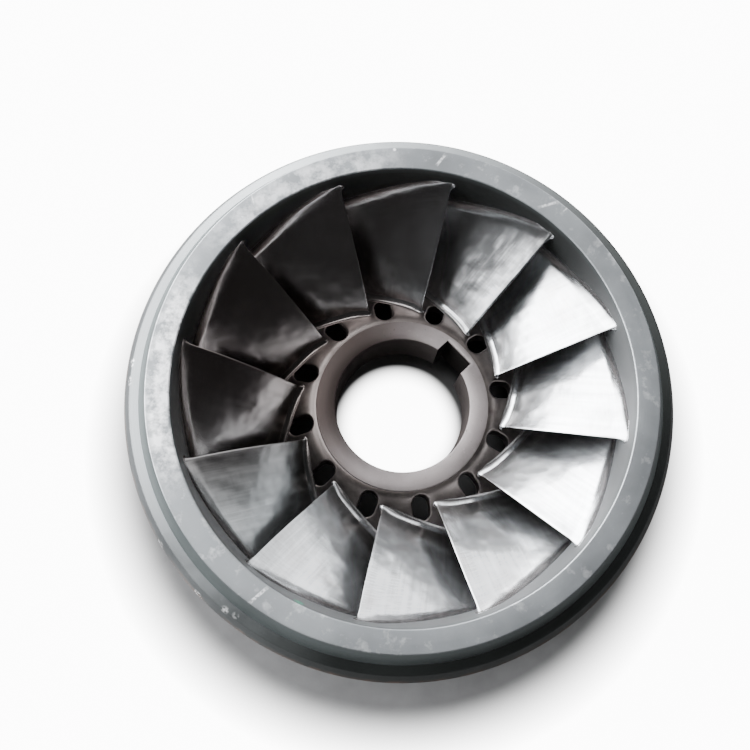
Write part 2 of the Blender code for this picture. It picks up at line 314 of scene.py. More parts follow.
class Nodes:
    """Short way to add and link the nodes of one node tree."""

    def __init__(self, tree):
        self.tree = tree

    def add(self, kind, inputs=None, **settings):
        node = self.tree.nodes.new(kind)
        for key, value in settings.items():
            setattr(node, key, value)
        for key, value in (inputs or {}).items():
            self.put(node, key, value)
        return node

    def put(self, node, key, value):
        if isinstance(value, bpy.types.NodeSocket):
            self.tree.links.new(value, node.inputs[key])
        else:
            node.inputs[key].default_value = value

    def math(self, operation, a, b):
        return self.add('ShaderNodeMath', {0: a, 1: b}, operation=operation).outputs[0]

    def joined(self, operation, values):
        result = values[0]
        for value in values[1:]:
            result = self.math(operation, result, value)
        return result

    def product(self, *values):
        return self.joined('MULTIPLY', values)

    def either(self, *values):
        """The largest of several shares."""
        return self.joined('MAXIMUM', values)

    def vector(self, operation, a, b=(0.0, 0.0, 0.0)):
        return self.add('ShaderNodeVectorMath', {0: a, 1: b}, operation=operation)

    def noise(self, vector, scale, detail, roughness):
        values = {"Vector": vector, "Scale": scale, "Detail": detail, "Roughness": roughness}
        return self.add('ShaderNodeTexNoise', values).outputs["Fac"]

    def stretched(self, vector, scale, rotation=(0.0, 0.0, 0.0)):
        values = {"Vector": vector, "Scale": scale, "Rotation": rotation}
        return self.add('ShaderNodeMapping', values).outputs[0]

    def ramp(self, value, stops):
        """Colour ramp through (position, colour) stops."""
        node = self.add('ShaderNodeValToRGB', {"Fac": value})
        elements = node.color_ramp.elements
        while len(elements) < len(stops):
            elements.new(0.5)
        for element, (position, colour) in zip(elements, stops):
            element.position = position
            element.color = (*colour, 1.0)
        return node.outputs["Color"]

    def mix(self, share, first, second):
        """Second colour laid over the first by a share from 0 to 1."""
        node = self.add('ShaderNodeMix', {"Factor": share}, data_type='RGBA')
        for key, value in ((6, first), (7, second)):
            self.put(node, key, (*value, 1.0) if isinstance(value, tuple) else value)
        return node.outputs[2]

    def blend(self, share, first, second):
        """First number where the share is 0, second where it is 1."""
        node = self.add('ShaderNodeMix', {"Factor": share, 2: first, 3: second}, data_type='FLOAT')
        return node.outputs[0]

    def span(self, value, low, high, new_low=0.0, new_high=1.0, smooth=False):
        values = {"Value": value, 1: low, 2: high, 3: new_low, 4: new_high}
        kind = 'SMOOTHSTEP' if smooth else 'LINEAR'
        return self.add('ShaderNodeMapRange', values, interpolation_type=kind).outputs[0]

    def split(self, place):
        return self.add('ShaderNodeSeparateXYZ', {0: place}).outputs

    def radius(self, place):
        """Distance from the shaft axis: the length of the place once its height is set to zero."""
        flat = self.vector('MULTIPLY', place, (1.0, 1.0, 0.0))
        return self.vector('LENGTH', flat.outputs[0]).outputs["Value"]

    def towards(self, place, bearing):
        """Cosine between a place's bearing round the axis and a bearing in degrees from +X."""
        flat = self.vector('MULTIPLY', place, (1.0, 1.0, 0.0))
        unit = self.vector('NORMALIZE', flat.outputs[0])
        turn = math.radians(bearing)
        way = (math.cos(turn), math.sin(turn), 0.0)
        return self.vector('DOT_PRODUCT', unit.outputs[0], way).outputs["Value"]

    def side(self, place, bearing, start, full, share=1.0):
        """A share reached smoothly, from 0, between two cosines of the turn from a bearing."""
        return self.span(self.towards(place, bearing), start, full, 0.0, share, smooth=True)

    def spot(self, place, centre, radius):
        """1 within two thirds of a radius round a point, falling to 0 at four thirds of it."""
        distance = self.vector('DISTANCE', place, centre).outputs["Value"]
        return self.span(distance, radius * 1.33, radius * 0.67)

    def dash(self, place, centre, degrees, length, width):
        """1 on a short stroke: the place, turned and scaled so that the stroke is a unit square."""
        moved = self.vector('SUBTRACT', place, centre)
        turn = (0.0, 0.0, -math.radians(degrees))
        turned_back = self.stretched(moved.outputs[0], (1.0, 1.0, 1.0), turn)
        unit = self.vector('MULTIPLY', turned_back, (2.0 / length, 2.0 / width, 0.0))
        parts = self.split(self.vector('ABSOLUTE', unit.outputs[0]).outputs[0])
        return self.span(self.math('MAXIMUM', parts[0], parts[1]), 1.25, 0.6)

    def attribute(self, name):
        return self.add('ShaderNodeAttribute', attribute_name=name)

    def bump(self, height, strength, distance):
        values = {"Height": height, "Strength": strength, "Distance": distance}
        return self.add('ShaderNodeBump', values).outputs["Normal"]


def new_steel(name, metal):
    """Material with its node tree, its shader with the metallic share, and the object's place."""
    material = bpy.data.materials.new(name)
    material.use_nodes = True
    nodes = Nodes(material.node_tree)
    shader = material.node_tree.nodes["Principled BSDF"]
    shader.inputs["Metallic"].default_value = metal
    return material, nodes, shader, nodes.add('ShaderNodeTexCoord').outputs["Object"]


def connect(nodes, shader, colour, roughness, normal):
    nodes.put(shader, "Base Color", colour)
    nodes.put(shader, "Roughness", roughness)
    nodes.put(shader, "Normal", normal)


def tone(colour, factor):
    return tuple(part * factor for part in colour)


def ring_marks(nodes, place, scale):
    """Fine rings round the axis: noise read along the radius and the height alone."""
    values = {"X": nodes.radius(place), "Z": nodes.split(place)[2]}
    line = nodes.add('ShaderNodeCombineXYZ', values).outputs[0]
    return nodes.noise(line, scale, 3.0, 0.7)


RELIEF_DEPTH = 0.0005   # height of the fine relief of the turned finishes


def turned_base(nodes, place, colour, stain, mark_scale):
    """Cloudy base colour, roughness share and fine relief that the turned finishes share."""
    marks = ring_marks(nodes, place, mark_scale)
    clouds = nodes.noise(place, 12.0, 6.0, 0.62)
    specks = nodes.noise(place, 170.0, 4.0, 0.7)
    base = nodes.ramp(clouds, ((0.32, stain), (0.5, tone(colour, 0.94)), (0.68, tone(colour, 1.10))))
    flecks = nodes.product(nodes.span(specks, 0.62, 0.76), 0.35)
    base = nodes.mix(flecks, base, tone(colour, 1.6))
    uneven = nodes.math('ADD', nodes.product(clouds, 0.6), nodes.product(marks, 0.4))
    height = nodes.math('ADD', marks, nodes.product(specks, 0.4))
    return base, nodes.span(uneven, 0.35, 0.65), height


CROWN_SMOKE = (0.07, 0.055, 0.05)


def crown_finish(name, colour):
    """Ground crown: dark brown satin steel with smoky stains and grinding marks."""
    material, nodes, shader, place = new_steel(name, 1.0)
    base, uneven, height = turned_base(nodes, place, colour, tone(colour, 0.5), 420.0)
    smoke = nodes.span(nodes.noise(place, 28.0, 5.0, 0.6), 0.52, 0.70)
    base = nodes.mix(nodes.product(smoke, 0.6), base, CROWN_SMOKE)
    rough = nodes.span(uneven, 0.0, 1.0, 0.29, 0.42)
    connect(nodes, shader, base, rough, nodes.bump(height, 0.10, RELIEF_DEPTH))
    return material


# Painted shade: the hub is darker and browner on the side round this bearing
HUB_SHADE_BROWN = (0.038, 0.027, 0.024)
HUB_SHADE_BEARING = 155.0
PIT_BROWN = (0.05, 0.045, 0.04)
# Painted shade on the bore wall and inside the keyway
BORE_SHADE = (0.10, 0.078, 0.072)
KEYWAY_SHADE = (0.018, 0.015, 0.014)


def hub_finish(name, colour):
    """Turned hub: taupe steel with fine rings, small pits, painted shade on one side and in the keyway
    and bore.
    """
    material, nodes, shader, place = new_steel(name, 0.8)
    base, uneven, height = turned_base(nodes, place, colour, tone(colour, 0.72), 900.0)
    # painted shade, darker and browner towards one side
    side_shade = nodes.side(place, HUB_SHADE_BEARING, -0.30, 0.90)
    base = nodes.mix(nodes.product(side_shade, 0.96), base, HUB_SHADE_BROWN)
    pits = nodes.span(nodes.noise(place, 260.0, 2.0, 0.5), 0.70, 0.76)
    base = nodes.mix(nodes.product(pits, 0.7), base, PIT_BROWN)
    # The keyway's and the bore's walls, which start just below the top face, painted dark as shade
    radius = nodes.radius(place)
    low = nodes.span(nodes.split(place)[2], HUB_HIGH[2] - 0.0012, HUB_HIGH[2] - 0.0030)
    key_side = nodes.span(nodes.towards(place, math.degrees(KEYWAY_ANGLE)), 0.94, 0.96)
    key = nodes.product(low, key_side, nodes.span(radius, BORE_R + 0.0003, BORE_R + 0.0012),
                        nodes.span(radius, KEYWAY_FLOOR_R + 0.0035, KEYWAY_FLOOR_R + 0.0022))
    bore = nodes.product(low, nodes.span(radius, BORE_R + 0.0006, BORE_R + 0.0002), 0.55)
    base = nodes.mix(bore, base, BORE_SHADE)
    base = nodes.mix(key, base, KEYWAY_SHADE)
    rough = nodes.blend(key, nodes.span(uneven, 0.0, 1.0, 0.34, 0.52), 0.85)
    connect(nodes, shader, base, rough, nodes.bump(height, 0.12, RELIEF_DEPTH))
    return material


# Bright strokes on the outlet face: centre, direction in degrees, length, width
FACE_STROKES = (
    ((0.0355, 0.2425, 0.0), 53.0, 0.0140, 0.0030),
    ((0.1480, 0.1959, 0.0), 17.7, 0.0210, 0.0030),
    ((-0.1409, -0.1990, 0.0), 40.6, 0.0203, 0.0030),
    ((-0.1660, 0.1721, 0.0), -65.6, 0.0114, 0.0020),
    ((-0.1575, 0.1943, 0.0), -77.6, 0.0126, 0.0016),
    ((0.1664, 0.1915, 0.0), 39.8, 0.0088, 0.0014),
)
FACE_DOT = (-0.0130, 0.2525, 0.205)
FACE_DOT_R = 0.0016
FLECK_PLACE = (-0.1030, -0.2050, 0.1990)
FLECK_R = 0.0050
FLECK_GREEN = (0.25, 0.78, 0.56)
# Bright steel of the strokes and the dot, and of the painted highlights
BRIGHT_STEEL = (0.96, 0.96, 0.97)
FLANK_TONES = ((0.13, 0.155, 0.155), (0.19, 0.215, 0.215))
WALL_TONES = ((0.33, 0.345, 0.35), (0.45, 0.46, 0.47))
# Painted shade on the band's inner wall, darkest towards this bearing
WALL_SHADE = (0.040, 0.045, 0.044)
WALL_SHADE_BEARING = 108.0
# Mottled painted highlights on the outlet face: bearing in degrees from +X, and strength
FACE_SHEEN_SIDES = ((177.0, 1.0), (118.0, 0.6))


def band_finish(name, colour):
    """Band: satin turned face with bright strokes, mottled painted highlights, darker dull flanks,
    painted shade inside.
    """
    material, nodes, shader, place = new_steel(name, 0.85)
    radius = nodes.radius(place)
    face = nodes.span(nodes.split(place)[2], BAND_HIGH[2] - 0.0016, BAND_HIGH[2] - 0.0004)
    inside = nodes.span(radius, FACE_INNER_R + 0.0010, FACE_INNER_R - 0.0015)
    base, uneven, height = turned_base(nodes, place, colour, tone(colour, 0.80), 900.0)
    flank = nodes.mix(nodes.noise(place, 24.0, 5.0, 0.6), *FLANK_TONES)
    wall = nodes.mix(nodes.noise(place, 20.0, 5.0, 0.6), *WALL_TONES)
    # painted shade on the inner wall towards one bearing
    wall = nodes.mix(nodes.side(place, WALL_SHADE_BEARING, -0.45, 0.60, 0.94), wall, WALL_SHADE)
    base = nodes.mix(face, nodes.mix(inside, flank, wall), base)
    # painted highlight: mottled bright patches towards two bearings, weaker at the rim
    sides = [nodes.side(place, bearing, 0.86, 0.985, share) for bearing, share in FACE_SHEEN_SIDES]
    sheen = nodes.span(nodes.noise(place, 62.0, 6.0, 0.66), 0.42, 0.60)
    rim = nodes.span(radius, 0.2545, 0.2490, 0.35, 1.0)
    sheen = nodes.product(nodes.either(*sides), sheen, face, rim)
    faint = nodes.product(nodes.span(nodes.noise(place, 60.0, 5.0, 0.65), 0.56, 0.70), face, 0.30)
    strokes = [nodes.dash(place, *stroke) for stroke in FACE_STROKES]
    worn = nodes.span(nodes.noise(place, 420.0, 3.0, 0.6), 0.36, 0.56)
    strokes = nodes.product(nodes.either(*strokes), worn, face, 0.75)
    dot = nodes.spot(place, FACE_DOT, FACE_DOT_R)
    bright = nodes.either(nodes.product(sheen, 0.9), faint, strokes, dot)
    base = nodes.mix(bright, base, BRIGHT_STEEL)
    fleck = nodes.product(nodes.spot(place, FLECK_PLACE, FLECK_R), worn, 0.95)
    base = nodes.mix(fleck, base, FLECK_GREEN)
    rough = nodes.span(uneven, 0.0, 1.0, 0.36, 0.52)
    rough = nodes.blend(nodes.product(bright, 0.8), rough, 0.42)
    rough = nodes.blend(inside, rough, nodes.span(uneven, 0.0, 1.0, 0.30, 0.42))
    connect(nodes, shader, base, rough, nodes.bump(height, 0.12, RELIEF_DEPTH))
    return material


# Small bright dings on the side of the band's wear ring
RING_DINGS = (
    (-0.2456, -0.1514, 0.160),
    (-0.1760, -0.2137, 0.172),
    (-0.2062, -0.1995, 0.160),
    (-0.1650, -0.2185, 0.172),
    (-0.2800, 0.0110, 0.172),
    (-0.2785, 0.0300, 0.172),
)
DING_R = 0.0042
DING_STEEL = (0.80, 0.80, 0.80)
# Painted shade on the wear ring: dark away from one bearing, dimmer round another
RING_SHADE = (0.030, 0.034, 0.032)
RING_LIT_BEARING = 146.0   # where the ring is free of the dark tone
RING_SIDE_SHADE = (0.085, 0.090, 0.093)
RING_SIDE_SHADE_BEARING = 176.0
RUST_BROWN = (0.115, 0.075, 0.058)


def ring_finish(name, colour):
    """Wear ring: dull green-grey steel, painted shade on two sides, a brown rust line on its widest
    edge, small bright dings.
    """
    material, nodes, shader, place = new_steel(name, 0.8)
    base, uneven, height = turned_base(nodes, place, colour, tone(colour, 0.7), 700.0)
    # painted shade: darker away from one bearing, and dimmer round another
    base = nodes.mix(nodes.side(place, RING_LIT_BEARING, 0.75, -0.45, 0.97), base, RING_SHADE)
    base = nodes.mix(nodes.side(place, RING_SIDE_SHADE_BEARING, 0.45, 0.95, 0.72), base, RING_SIDE_SHADE)
    rim = nodes.span(nodes.radius(place), RING_HIGH[0] - 0.0040, RING_HIGH[0] - 0.0008)
    rust = nodes.product(rim, nodes.span(nodes.noise(place, 45.0, 6.0, 0.7), 0.38, 0.58), 0.80)
    base = nodes.mix(rust, base, RUST_BROWN)
    dings = nodes.either(*(nodes.spot(place, centre, DING_R) for centre in RING_DINGS))
    dings = nodes.product(dings, nodes.span(nodes.noise(place, 260.0, 4.0, 0.65), 0.44, 0.56))
    chips = nodes.product(rim, nodes.span(nodes.noise(place, 150.0, 3.0, 0.6), 0.70, 0.76), 0.45)
    bright = nodes.either(dings, chips)
    base = nodes.mix(bright, base, DING_STEEL)
    rough = nodes.blend(rust, nodes.span(uneven, 0.0, 1.0, 0.36, 0.56), 0.72)
    nodes.put(shader, "Metallic", nodes.span(rust, 0.0, 0.8, 0.8, 0.1))
    connect(nodes, shader, base, rough, nodes.bump(height, 0.14, RELIEF_DEPTH))
    return material


BLADE_SMOKE = (0.34, 0.29, 0.27)
# Painted shade on the blades: darker towards one bearing, browner towards another
BLADE_SHADE = (0.100, 0.107, 0.107)
BLADE_SHADE_BEARING = 180.0
BLADE_BROWN_SHADE = (0.165, 0.134, 0.124)
BLADE_BROWN_SHADE_BEARING = 138.0
ROOT_BROWN = (0.16, 0.135, 0.125)
# Painted shade on each blade's hidden side
BACK_SHADE = (0.085, 0.080, 0.075)


def blade_finish(name, colour):
    """Hand polished blade: slow waves and streaks from the grinder, browned roots, a dull back painted
    dark as shade.

    Painted shade makes blades towards two bearings round the axis darker and browner, as the photograph
    shows.
    The mark sheet holds metres along the flow and across the blade, so the streaks follow the
    blade. The marks back and weld are 1 on its hidden side, deeper in than the polisher reaches,
    and where it meets crown and band. The roughness stays below 0.265 on the polished face. The
    last part of the relief is a plain slope along the flow, which leans the face's mirroring.
    """
    material, nodes, shader, place = new_steel(name, 1.0)
    sheet = nodes.attribute("sheet").outputs["Vector"]
    back = nodes.attribute("back").outputs["Fac"]
    weld = nodes.attribute("weld").outputs["Fac"]
    clouds = nodes.noise(place, 13.0, 4.0, 0.55)
    waves = nodes.noise(place, 24.0, 2.0, 0.45)
    streaks = nodes.noise(nodes.stretched(sheet, (150.0, 8.0, 60.0)), 1.0, 4.0, 0.6)
    hairs = nodes.noise(nodes.stretched(sheet, (60.0, 700.0, 60.0), (0.0, 0.0, 0.25)), 1.0, 3.0, 0.6)
    tones = ((0.30, tone(colour, 0.74)), (0.5, tone(colour, 0.95)), (0.7, tone(colour, 1.06)))
    base = nodes.ramp(clouds, tones)
    base = nodes.mix(nodes.span(streaks, 0.42, 0.68, 0.0, 0.62), base, tone(colour, 0.55))
    base = nodes.mix(nodes.span(hairs, 0.40, 0.66, 0.0, 0.30), base, tone(colour, 1.25))
    smoky = nodes.span(nodes.noise(place, 21.0, 4.0, 0.6), 0.54, 0.72, 0.0, 0.30)
    base = nodes.mix(smoky, base, BLADE_SMOKE)
    # painted shade: darker towards one bearing and browner towards another
    base = nodes.mix(nodes.side(place, BLADE_SHADE_BEARING, 0.35, 0.92, 0.84), base, BLADE_SHADE)
    base = nodes.mix(nodes.side(place, BLADE_BROWN_SHADE_BEARING, 0.10, 0.90, 0.70), base, BLADE_BROWN_SHADE)
    seam = nodes.span(weld, 0.02, 0.60, smooth=True)
    root = nodes.product(seam, nodes.span(nodes.split(sheet)[1], 0.6 * BLADE_SPAN, 0.4 * BLADE_SPAN))
    base = nodes.mix(nodes.product(root, 0.65), base, ROOT_BROWN)
    # painted shade on the hidden side
    base = nodes.mix(back, base, BACK_SHADE)
    uneven = nodes.math('ADD', nodes.product(clouds, 0.55), nodes.product(streaks, 0.45))
    rough = nodes.blend(seam, nodes.span(uneven, 0.35, 0.65, 0.18, 0.262), 0.264)
    rough = nodes.blend(back, rough, 0.55)
    height = nodes.math('ADD', nodes.product(waves, 3.0),
                        nodes.math('ADD', nodes.product(streaks, 0.16), nodes.product(hairs, 0.02)))
    height = nodes.product(height, nodes.blend(seam, 0.0006, 0.0001))
    height = nodes.math('ADD', height, nodes.product(nodes.split(sheet)[0], BLADE_EASE))
    connect(nodes, shader, base, rough, nodes.bump(height, 1.0, 1.0))
    return material


FLOOR_HALF = 3.0
FLOOR_DROP = 0.0005                   # how far the floor lies below the runner
FLOOR_TONES = ((0.10, 0.10, 0.10), (0.12, 0.12, 0.12))
# Painted shade of the floor under the crown
FLOOR_SHADE = (0.03, 0.03, 0.03)
DARK_INSIDE = (0.084, 0.094)          # radii between which the floor darkens under the crown
DARK_OUTSIDE = (0.250, 0.235)
SHADE_CENTRE = (0.006, -0.030, 0.0)   # middle of the soft shade round the runner
SHADE_END = (0.309, 0.386)            # distances from it between which the shade ends
# The bore's glow sits off centre, so its edge paints shade on one side
BORE_CENTRE = (0.0, -0.010, 0.0)      # middle of the glow that shows through the bore
BORE_END = (0.082, 0.052)
FLOOR_GLOW = 12.0


def floor_paint(name):
    """Plain floor: dull grey in itself, and glowing white for the camera alone.

    The glow fades in a painted shadow round the runner, and shows again through the bore. Under the
    crown the floor is painted dark as shade.
    """
    material, nodes, shader, place = new_steel(name, 0.0)
    grain = nodes.noise(place, 40.0, 4.0, 0.5)
    radius = nodes.radius(place)
    # painted shade under the crown
    under = nodes.product(nodes.span(radius, *DARK_INSIDE), nodes.span(radius, *DARK_OUTSIDE))
    grey = nodes.ramp(grain, ((0.3, FLOOR_TONES[0]), (0.7, FLOOR_TONES[1])))
    nodes.put(shader, "Base Color", nodes.mix(under, grey, FLOOR_SHADE))
    shader.inputs["Roughness"].default_value = 0.9
    from_shade = nodes.vector('DISTANCE', place, SHADE_CENTRE).outputs["Value"]
    # Painted shadow: the glow fades towards the runner, round a centre set off to one side
    open_floor = nodes.span(from_shade, *SHADE_END)
    open_floor = nodes.product(open_floor, open_floor)
    from_bore = nodes.vector('DISTANCE', place, BORE_CENTRE).outputs["Value"]
    through_bore = nodes.span(from_bore, *BORE_END, smooth=True)
    seen = nodes.add('ShaderNodeLightPath').outputs["Is Camera Ray"]
    glow = nodes.product(nodes.either(open_floor, through_bore), seen, FLOOR_GLOW)
    shader.inputs["Emission Color"].default_value = (1.0, 1.0, 1.0, 1.0)
    nodes.put(shader, "Emission Strength", glow)
    return material


def flow_height(radius):
    """Height of the crown's flow surface at a radius, read from its curve."""
    table = cubic(CROWN_CURVE, np.linspace(0.0, 1.0, 2001))
    return np.interp(radius, table[:, 0], table[:, 1])


def hole_cutter(rounding):
    """Twelve plugs with round ends that flare at the crown's flow surface.

    Each outline is two half circles apart by the hole's straight length. Its rows go up through
    the crown, and near the surface they move outwards on a quarter circle of the rounding.
    """
    end_r = RELIEF_HOLE_WIDTH / 2.0
    reach = RELIEF_HOLE_LENGTH / 2.0 - end_r
    half = np.linspace(-0.5 * math.pi, 0.5 * math.pi, 17)
    normal_x = np.concatenate((np.cos(half), -np.cos(half)))
    normal_y = np.concatenate((np.sin(half), -np.sin(half)))
    side = np.repeat((1.0, -1.0), len(half))
    turn = np.linspace(0.0, 0.5 * math.pi, 7)
    straight = len(PLUG_LOW)
    flare = np.concatenate((np.zeros(straight), rounding * (1.0 - np.cos(turn)), [rounding * 1.02]))
    rise = np.concatenate((-rounding + rounding * np.sin(turn), [PLUG_TOP]))[:, None]
    reach_out = end_r + flare[:, None]
    x = side * reach + normal_x * reach_out
    y = normal_y * reach_out
    rows, columns = x.shape
    low = np.broadcast_to(np.array(PLUG_LOW)[:, None], (straight, columns))
    radius = np.hypot(RELIEF_HOLE_R + x, y)[straight:]
    z = np.vstack((low, flow_height(radius) + rise))
    points, quads = [], []
    for index in range(BLADE_COUNT):
        angle = FIRST_EDGE_ANGLE + RELIEF_HOLE_SHIFT + PITCH * index
        px = (RELIEF_HOLE_R + x) * math.cos(angle) - y * math.sin(angle)
        py = (RELIEF_HOLE_R + x) * math.sin(angle) + y * math.cos(angle)
        points.append(np.stack((px, py, z), axis=-1).reshape(-1, 3))
        quads.append(grid_quads(rows, columns, wrap_rows=False) + index * rows * columns)
    return put_mesh("hole_cutter", np.vstack(points), np.vstack(quads), fill=True)


def cut_away(obj, cutter):
    """Boolean difference, applied at once, and the cutter removed."""
    modifier = obj.modifiers.new("cut", 'BOOLEAN')
    modifier.operation = 'DIFFERENCE'
    modifier.solver = 'EXACT'
    modifier.object = cutter
    depsgraph = bpy.context.evaluated_depsgraph_get()
    mesh = bpy.data.meshes.new_from_object(obj.evaluated_get(depsgraph))
    old = obj.data
    obj.modifiers.clear()
    obj.data = mesh
    mesh.name = obj.name
    bpy.data.meshes.remove(old)
    bpy.data.objects.remove(cutter, do_unlink=True)
    soften(mesh)


class RUNNER_OT_crown(bpy.types.Operator):
    """Crown: the flow surface on its upper side, hollow at the back, with its relief holes."""

    bl_idname = "runner.crown"
    bl_label = "Crown"

    def execute(self, context):
        flow = cubic(CROWN_CURVE, np.linspace(0.0, 1.0, 60))
        inner = HUB_HIGH[0] + JOINT
        rim = CROWN_HIGH[0]
        steer_z = 0.090
        # The last two corners only steer the roundings of their neighbours, and aren't kept
        back = rounded_outline((
            (rim, CROWN_RING_HIGH[2], PLAIN_EASE),
            (rim, 0.0, PLAIN_EASE),
            *CROWN_HOLLOW,
            (inner, CROWN_HOLLOW[-1][1], SMALL_EASE),
            (inner, steer_z, 0.0),
            (INLET_R, steer_z, 0.0),
        ))[:-2]
        outline = np.vstack((flow[:-1], back, [[inner, flow[0, 1]]]))
        crown = turned("crown_surface", outline)
        cut_away(crown, hole_cutter(context.scene.runner_sizes.hole_round))
        material = crown_finish("ground_crown_steel", context.scene.runner_colours.crown)
        finish_piece(crown, material, "crown_steel", "crown_cone", "crown_plate", "crown_rim")
        return {'FINISHED'}


class RUNNER_OT_hub_boss(bpy.types.Operator):
    """Hub sleeve: round outside, bore with one keyway inside, edges eased."""

    bl_idname = "runner.hub_boss"
    bl_label = "Hub boss"

    def execute(self, context):
        key_half = math.asin(KEYWAY_WIDTH / 2.0 / BORE_R)
        key_outer = math.atan2(KEYWAY_WIDTH / 2.0, KEYWAY_FLOOR_R)
        floor = np.linspace(-key_outer, key_outer, 13)
        around = np.linspace(key_half, math.tau - key_half, 260)
        angle = np.concatenate((floor, around)) + KEYWAY_ANGLE
        bore = np.concatenate((KEYWAY_FLOOR_R / np.cos(floor), np.full(len(around), BORE_R)))
        outside = np.full(len(angle), HUB_HIGH[0])
        low, high = HUB_LOW[2], HUB_HIGH[2]
        # Each row: the outline that it follows, its growth and its height
        rows = (
            (bore, 0.0, low + BORE_CHAMFER),
            (bore, BORE_CHAMFER, low),
            (outside, -BORE_CHAMFER, low),
            (outside, 0.0, low + BORE_CHAMFER),
            (outside, 0.0, high - HUB_EASE),
            (outside, -0.3 * HUB_EASE, high - 0.3 * HUB_EASE),
            (outside, -HUB_EASE, high),
            (bore, BORE_EASE, high),
            (bore, BORE_EASE_MIDDLE, high - BORE_EASE_MIDDLE),
            (bore, 0.0, high - BORE_EASE),
        )
        radius = np.stack([outline + growth for outline, growth, height in rows])
        level = np.stack([np.full(len(angle), height) for outline, growth, height in rows])
        points = np.stack((radius * np.cos(angle), radius * np.sin(angle), level), axis=-1)
        hub = put_mesh("hub_sleeve", points, grid_quads(len(rows), len(angle), wrap_rows=True), 25.0)
        material = hub_finish("turned_hub_steel", context.scene.runner_colours.hub)
        finish_piece(hub, material, "hub_steel", "hub_boss")
        return {'FINISHED'}


class RUNNER_OT_band(bpy.types.Operator):
    """Band: flow surface inside, flat outlet face, tapered rim, and its seat for the wear ring."""

    bl_idname = "runner.band"
    bl_label = "Band"

    def execute(self, context):
        flow = cubic(BAND_CURVE, np.linspace(0.03, 0.99, 50))
        top, outer = BAND_HIGH[2], BAND_HIGH[0]
        outside = rounded_outline((
            (outer, BAND_LOW[2], PLAIN_EASE),
            (outer, RING_HIGH[2], 0.0),
            (FACE_OUTER_R, top, 0.0015),
            (FACE_INNER_R, top, 0.0016),
            (FACE_INNER_R - 0.001, top - 0.004, 0.0),
            (INLET_R, BAND_LOW[2], 0.0),
        ))
        outline = np.vstack((outside[:-2], flow))
        band = turned("band_shroud", outline)
        material = band_finish("turned_band_steel", context.scene.runner_colours.band)
        finish_piece(band, material, "band_steel", "band")
        return {'FINISHED'}


class RUNNER_OT_wear_rings(bpy.types.Operator):
    """Wear rings: one on the band, one on the crown's rim, with eased edges."""

    bl_idname = "runner.wear_rings"
    bl_label = "Wear rings"

    def execute(self, context):
        material = ring_finish("turned_ring_steel", context.scene.runner_colours.ring)
        inner = BAND_HIGH[0] - JOINT
        low, high, wide = RING_LOW[2], RING_HIGH[2], RING_HIGH[0]
        outline = rounded_outline((
            (inner, low, SMALL_EASE),
            (wide, low, 0.0035),
            (wide, RING_WIDE_Z, 0.0050),
            (RING_FACE_R, high - RING_FACE_DROP, 0.0060),
            (inner, high, 0.0),
        ), 8)
        finish_piece(turned("band_seal_ring", outline), material, "wear_ring_steel", "band_wear_ring")
        low, high, outer = CROWN_RING_LOW[2], CROWN_RING_HIGH[2], CROWN_RING_HIGH[0]
        outline = rounded_outline((
            (inner, low, SMALL_EASE),
            (outer, low, 0.0015),
            (outer, high, 0.0015),
            (inner, high, SMALL_EASE),
        ), 8)
        finish_piece(turned("crown_seal_ring", outline), material, "wear_ring_steel", "crown_wear_ring")
        return {'FINISHED'}


TAIL_SHARE = 0.008         # rounded share of the blade at its trailing edge
NOSE_SHARE = 0.08          # rounded share at its inlet edge
GROWTH_SHARE = 0.25        # share over which it grows to its full thickness
BACK_SHARES = (0.04, 0.26)   # shares between which its hidden side turns dull
# The welds' feet shrink towards both edges: shares between which, and by how much
FOOT_FADES = ((0.8, 1.0, 0.65), (0.07, 0.0, 0.5))
STEP = 0.002               # half of the step of s that slopes are taken over
WELD_SINK = 0.0004         # how far the outermost row is sunk into the wall
BLADE_RUN = 0.24           # metres along a blade, and across it, for its streaks
BLADE_SPAN = 0.11
BLADE_EASE = 0.20          # slope by which the relief leans the polished face towards its trailing edge


